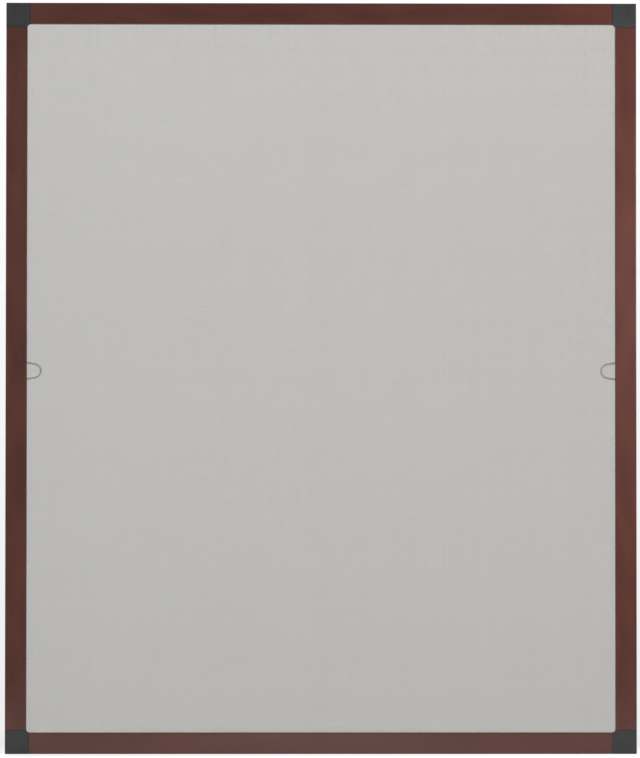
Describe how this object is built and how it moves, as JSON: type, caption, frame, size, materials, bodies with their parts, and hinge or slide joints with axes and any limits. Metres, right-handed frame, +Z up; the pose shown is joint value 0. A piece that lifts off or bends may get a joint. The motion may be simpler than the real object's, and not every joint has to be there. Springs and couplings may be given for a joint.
{
  "type": "window screen frame",
  "caption": "Rectangular window insect screen: hollow coated rails on plug-in plastic corners, woven cloth held by splines in a groove at the back, and finger loops at mid height.",
  "frame": {"origin": "middle of the bottom edge, half way through the frame's depth", "axes": "+X to the right as seen from the front, +Y from the flat front face to the back with the splines and finger loops, +Z up"},
  "size_m": [1, 0.011, 1.19],
  "materials": {
    "rail_coat": "satin brown powder coat on aluminium",
    "corner_plastic": "fine moulded grain, dark grey",
    "screen_cloth": "open plain weave of coated glass-fibre yarn, grey",
    "spline_vinyl": "fluted soft vinyl, near black",
    "tab_plastic": "thin translucent grey plastic"
  },
  "bodies": {
    "root": {"rail_left": "rail_coat", "rail_right": "rail_coat", "rail_top": "rail_coat", "rail_bottom": "rail_coat", "corner_top_left": "corner_plastic", "corner_top_right": "corner_plastic", "corner_bottom_left": "corner_plastic", "corner_bottom_right": "corner_plastic", "insect_screen": "screen_cloth", "spline_left": "spline_vinyl", "spline_right": "spline_vinyl", "spline_top": "spline_vinyl", "spline_bottom": "spline_vinyl", "pull_tab_left": "tab_plastic", "pull_tab_right": "tab_plastic"}
  },
  "joints": []
}
